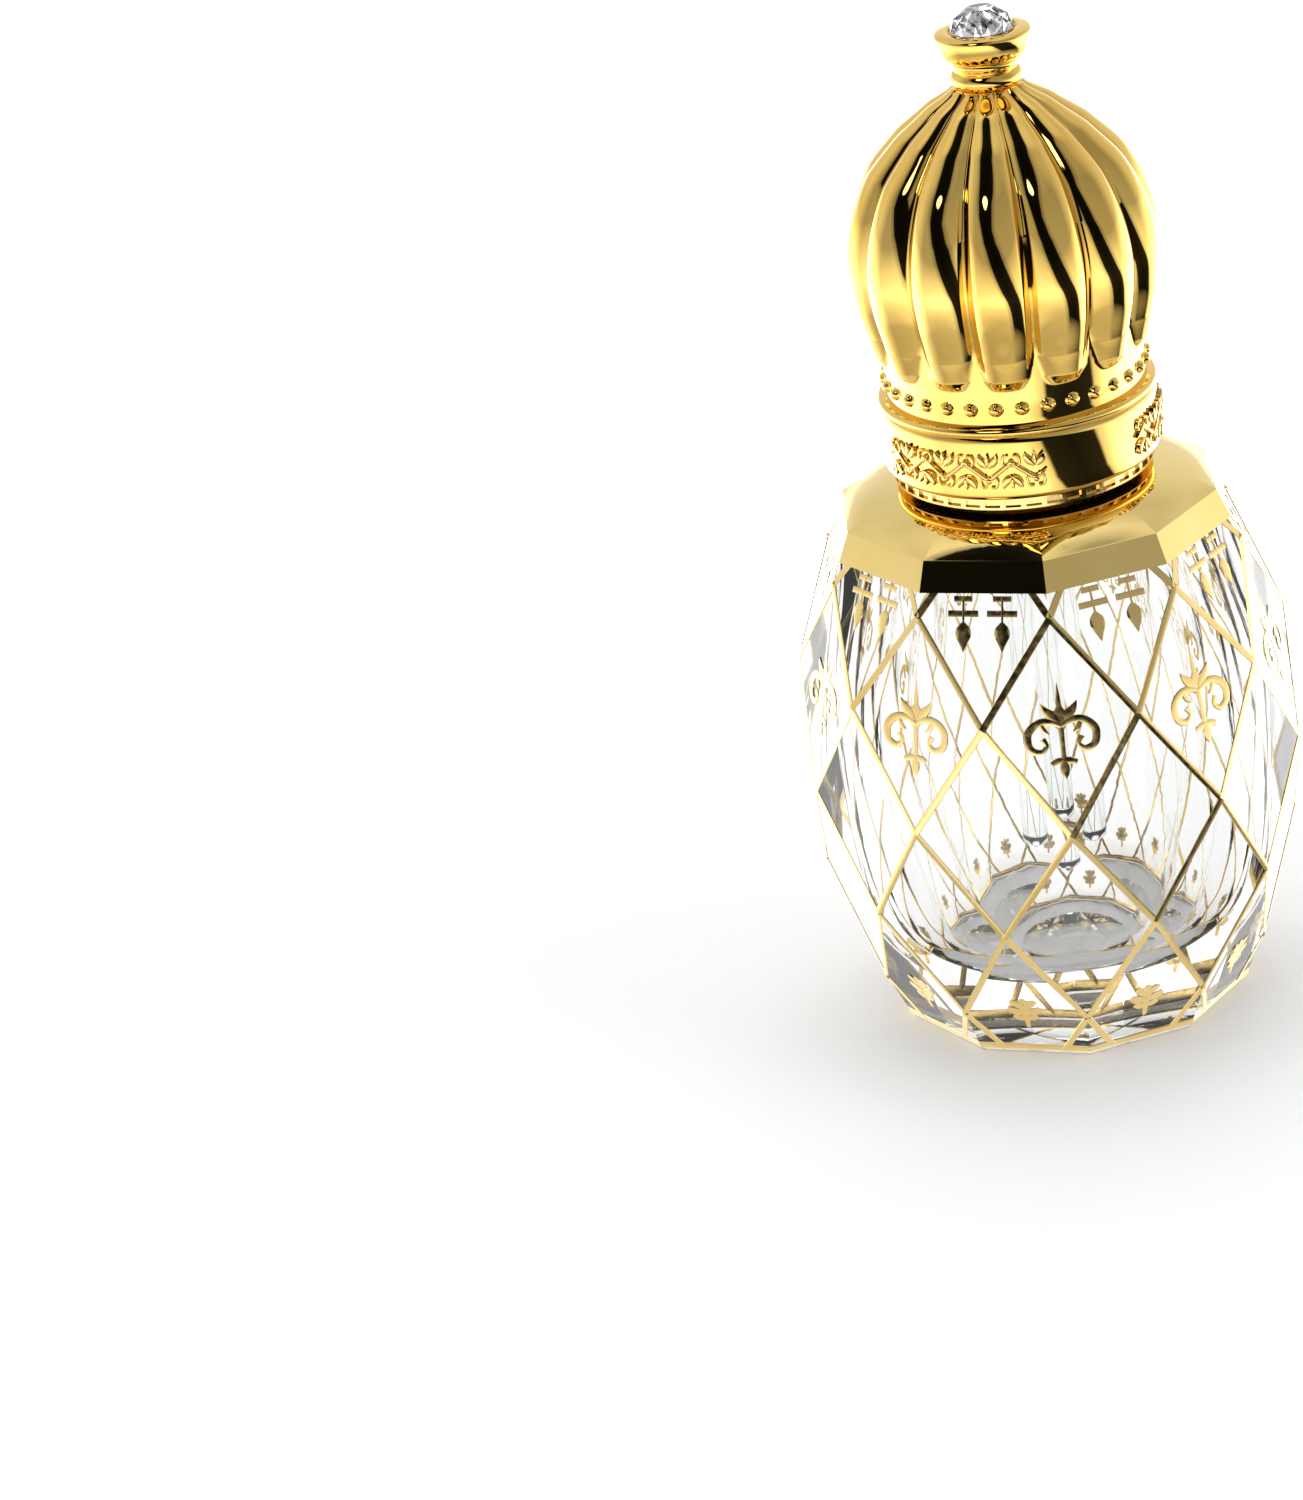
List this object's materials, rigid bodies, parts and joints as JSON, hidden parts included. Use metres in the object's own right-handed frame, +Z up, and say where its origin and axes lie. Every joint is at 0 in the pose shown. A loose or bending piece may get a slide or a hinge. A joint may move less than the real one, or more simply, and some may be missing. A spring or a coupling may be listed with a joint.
{
  "type": "perfume bottle",
  "caption": "Small clear faceted glass perfume bottle with a gilded shoulder and a lobed gold screw cap that carries a glass dip stick.",
  "frame": {"origin": "centre of the flat base, on the surface that the bottle stands on", "axes": "+Z up along the bottle's axis, through the neck to the finial; -Y is a corner line of the ten-sided glass"},
  "size_m": [0.031, 0.0324, 0.0658],
  "materials": {
    "clear_glass": "clear polished glass, cut in flat facets",
    "fired_gold": "burnished fired gold",
    "soft_plug": "translucent soft plastic",
    "stick_glass": "clear drawn glass",
    "liner_foam": "soft foam",
    "gilt_plastic": "gold-plated plastic",
    "cap_gold": "polished gold plate",
    "collar_gold": "polished gold plate with low relief",
    "finial_gold": "polished gold plate",
    "stone": "foil-backed cut glass"
  },
  "bodies": {
    "bottle": {"glass_bottle": "clear_glass", "shoulder_gilding": "fired_gold", "neck_plug": "soft_plug"},
    "applicator": {"applicator_rod": "stick_glass"},
    "cap": {"inner_cap": "gilt_plastic", "seal_liner": "liner_foam", "cap_shell": "cap_gold", "collar_band": "collar_gold", "finial": "finial_gold", "rhinestone": "stone"}
  },
  "joints": [
    {"name": "cap_lift", "type": "slide", "parent": "bottle", "child": "applicator", "axis": [0, 0, 1], "range_m": [0, 0.00367]},
    {"name": "cap_turn", "type": "hinge", "parent": "applicator", "child": "cap", "pos_m": [0, 0, 0.0412], "axis": [0, 0, 1], "range_deg": [0, 630]}
  ],
  "couplings": [
    {"joint": "cap_lift", "follows": "cap_turn", "m_per_rad": 0.00033423}
  ]
}
